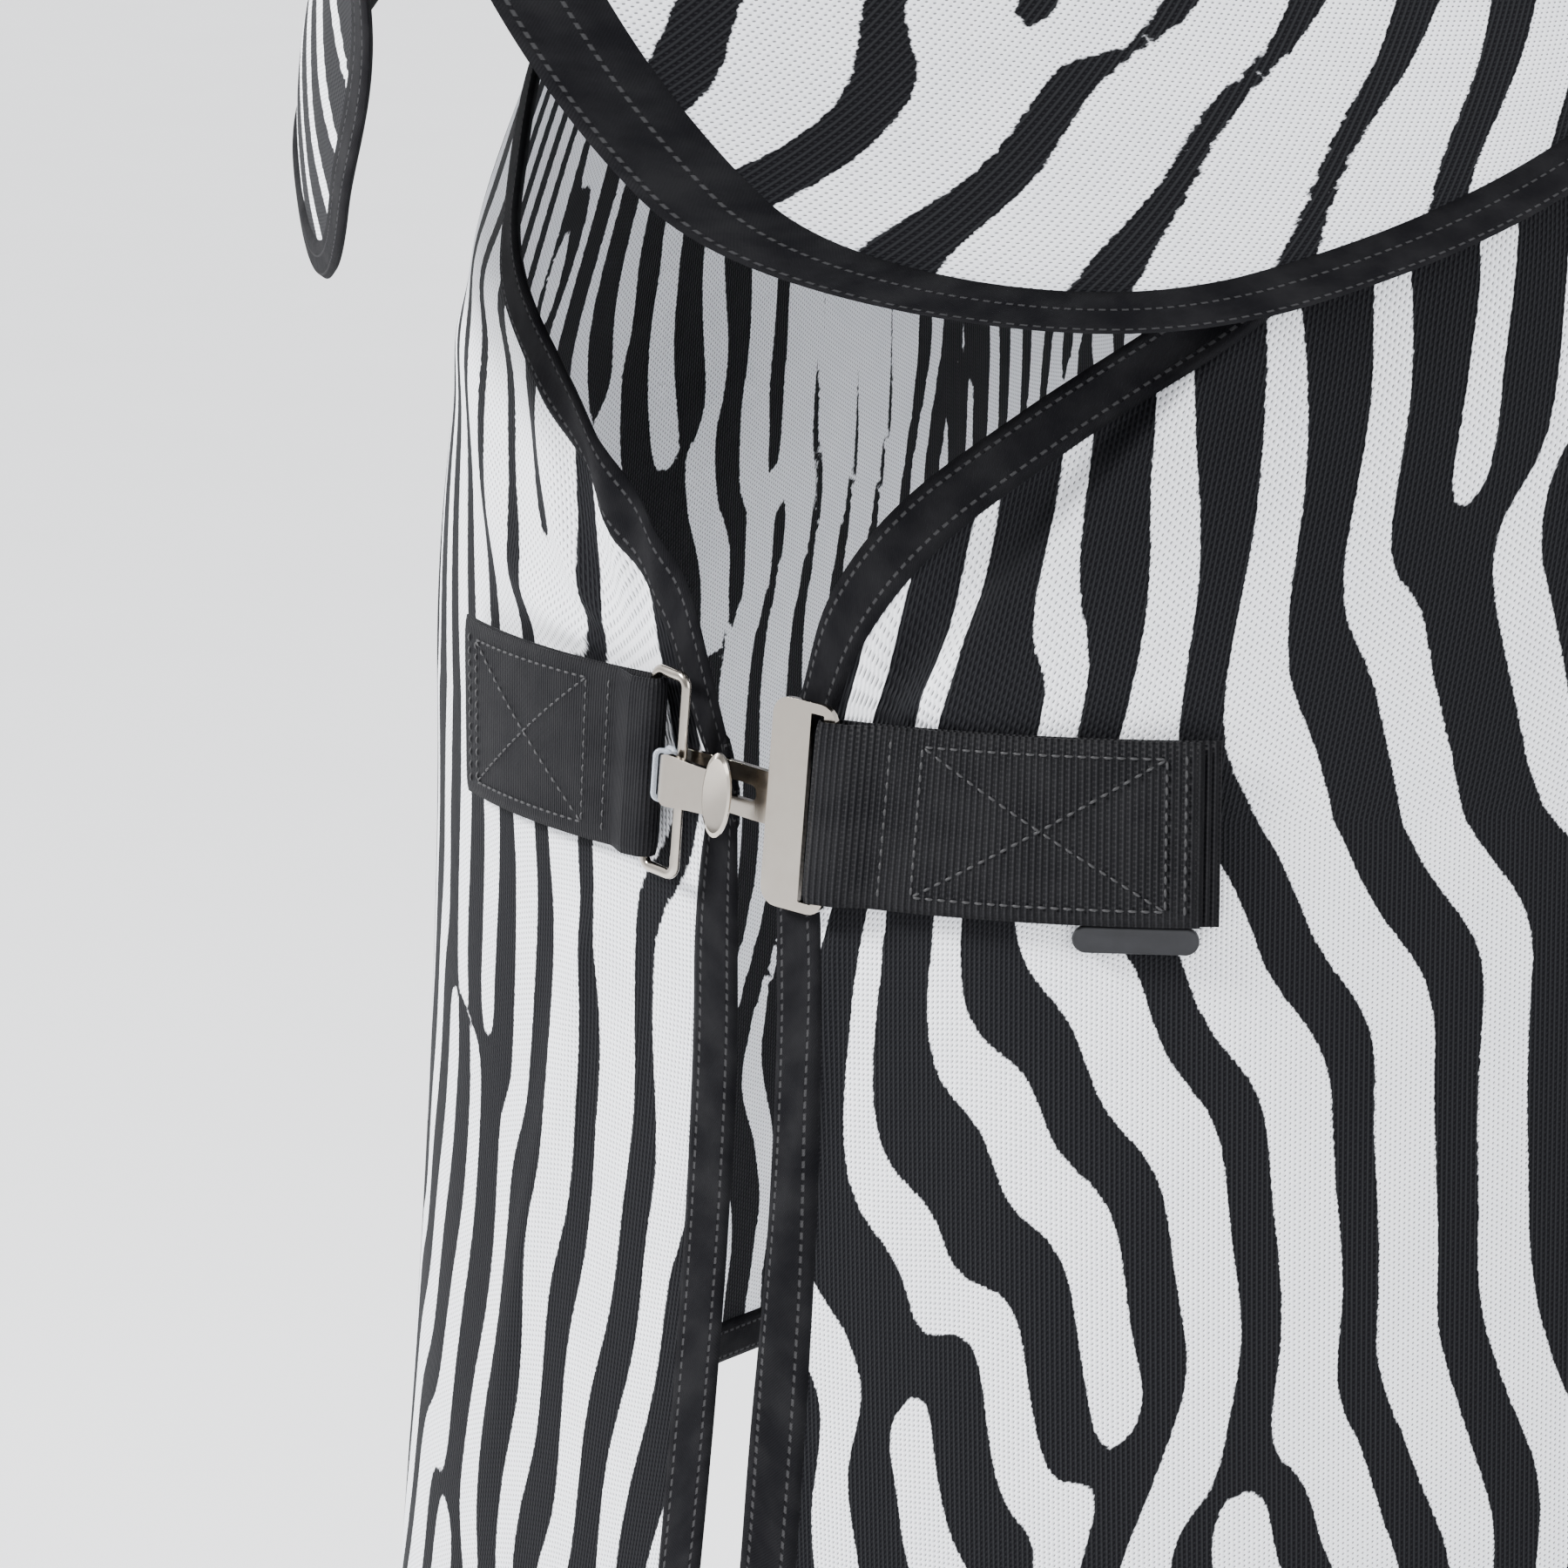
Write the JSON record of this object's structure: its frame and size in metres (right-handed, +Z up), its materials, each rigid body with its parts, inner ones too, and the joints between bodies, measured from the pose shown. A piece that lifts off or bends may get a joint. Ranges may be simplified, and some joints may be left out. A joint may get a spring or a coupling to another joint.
{
  "type": "horse fly sheet with neck cover",
  "caption": "Mesh fly sheet for a horse, shown as worn, with a separate neck cover, hooked chest closure, crossed belly straps and a tail flap.",
  "frame": {"origin": "the withers: the spine line of the sheet under the rear of the neck cover", "axes": "+Z up; the horse faces -Y, so +Y runs to the tail; +X is the left side of the horse"},
  "size_m": [0.6485, 2.2322, 1.2947],
  "materials": {
    "zebra_mesh": "open knitted mesh printed with black and white zebra stripes, matt",
    "binding": "black twill tape with two rows of stitching, matt",
    "webbing": "black ribbed webbing with a slight sheen",
    "nickel": "bright nickel plate with fine scratches",
    "silicone": "clear soft silicone",
    "rubber": "dark grey moulded rubber, satin"
  },
  "bodies": {
    "sheet": {"belly_strap_front": "webbing", "belly_strap_rear": "webbing", "belly_stub_front": "webbing", "belly_stub_rear": "webbing", "body_panel_left": "zebra_mesh", "body_panel_right": "zebra_mesh", "chest_strap_left": "webbing", "chest_strap_right": "webbing", "front_binding_left": "binding", "front_binding_right": "binding", "hem_binding_left": "binding", "hem_binding_right": "binding", "label_tab": "rubber", "neckline_binding_left": "binding", "neckline_binding_right": "binding", "rear_binding_left": "binding", "rear_binding_right": "binding", "spine_tape": "binding", "withers_loop_left": "webbing", "withers_loop_right": "webbing", "withers_ring_left": "nickel", "withers_ring_right": "nickel"},
    "chest_hook": {"chest_hook": "nickel", "washer_inner": "silicone", "washer_outer": "silicone"},
    "chest_ring": {"chest_ring": "nickel"},
    "neck_cover": {"neck_hem_binding_left": "binding", "neck_hem_binding_right": "binding", "neck_panel_left": "zebra_mesh", "neck_panel_right": "zebra_mesh", "neck_strap_left": "webbing", "neck_strap_right": "webbing", "poll_binding_left": "binding", "poll_binding_right": "binding", "throat_binding_left": "binding", "throat_binding_right": "binding", "throat_patch_lower": "binding", "throat_patch_middle": "binding", "throat_patch_upper": "binding", "crest_tape": "binding"},
    "tail_flap": {"tail_flap": "zebra_mesh", "tail_flap_binding": "binding"},
    "throat_tab_lower": {"throat_tab_lower": "webbing"},
    "throat_tab_middle": {"throat_tab_middle": "webbing"},
    "throat_tab_upper": {"throat_tab_upper": "webbing"},
    "belly_hook_front": {"belly_hook_front": "nickel"},
    "belly_ring_front": {"belly_ring_front": "nickel"},
    "belly_hook_rear": {"belly_hook_rear": "nickel"},
    "belly_ring_rear": {"belly_ring_rear": "nickel"}
  },
  "joints": [
    {"name": "chest_hook_swing", "type": "hinge", "parent": "sheet", "child": "chest_hook", "pos_m": [0.0254, -0.54481, -0.43222], "axis": [0.0872, 0, 0.9962], "range_deg": [0, 1.5]},
    {"name": "chest_ring_swing", "type": "hinge", "parent": "sheet", "child": "chest_ring", "pos_m": [-0.03217, -0.54451, -0.42719], "axis": [-0.0872, 0, -0.9962], "range_deg": [0, 5.34]},
    {"name": "neck_cover_lift", "type": "hinge", "parent": "sheet", "child": "neck_cover", "pos_m": [0, 0.008, 0.0085], "axis": [-1, 0, 0], "range_deg": [0, 20]},
    {"name": "throat_tab_lower_peel", "type": "hinge", "parent": "neck_cover", "child": "throat_tab_lower", "pos_m": [0.0354, -0.68304, -0.16316], "axis": [-0.1341, -0.4824, 0.8656], "range_deg": [0, 80]},
    {"name": "throat_tab_middle_peel", "type": "hinge", "parent": "neck_cover", "child": "throat_tab_middle", "pos_m": [0.02207, -0.7798, 0.01356], "axis": [-0.0263, -0.4821, 0.8757], "range_deg": [0, 80]},
    {"name": "throat_tab_upper_peel", "type": "hinge", "parent": "neck_cover", "child": "throat_tab_upper", "pos_m": [0.01658, -0.85389, 0.15371], "axis": [-0.0229, -0.4253, 0.9048], "range_deg": [0, 80]},
    {"name": "belly_hook_front_swing", "type": "hinge", "parent": "sheet", "child": "belly_hook_front", "pos_m": [0.3074, 0.17, -0.6655], "axis": [0, 1, 0], "range_deg": [0, 3]},
    {"name": "belly_ring_front_swing", "type": "hinge", "parent": "sheet", "child": "belly_ring_front", "pos_m": [0.3071, 0.17, -0.60771], "axis": [0, -1, 0], "range_deg": [0, 10.66]},
    {"name": "belly_hook_rear_swing", "type": "hinge", "parent": "sheet", "child": "belly_hook_rear", "pos_m": [0.31826, 0.52, -0.6655], "axis": [0, 1, 0], "range_deg": [0, 3]},
    {"name": "belly_ring_rear_swing", "type": "hinge", "parent": "sheet", "child": "belly_ring_rear", "pos_m": [0.31796, 0.52, -0.60771], "axis": [0, -1, 0], "range_deg": [0, 10.66]},
    {"name": "tail_flap_lift", "type": "hinge", "parent": "sheet", "child": "tail_flap", "pos_m": [0, 1.3219, -0.11523], "axis": [1, 0, 0], "range_deg": [0, 60]}
  ],
  "couplings": [
    {"joint": "chest_ring_swing", "follows": "chest_hook_swing", "ratio": 3.55},
    {"joint": "belly_ring_front_swing", "follows": "belly_hook_front_swing", "ratio": 3.55},
    {"joint": "belly_ring_rear_swing", "follows": "belly_hook_rear_swing", "ratio": 3.55}
  ]
}
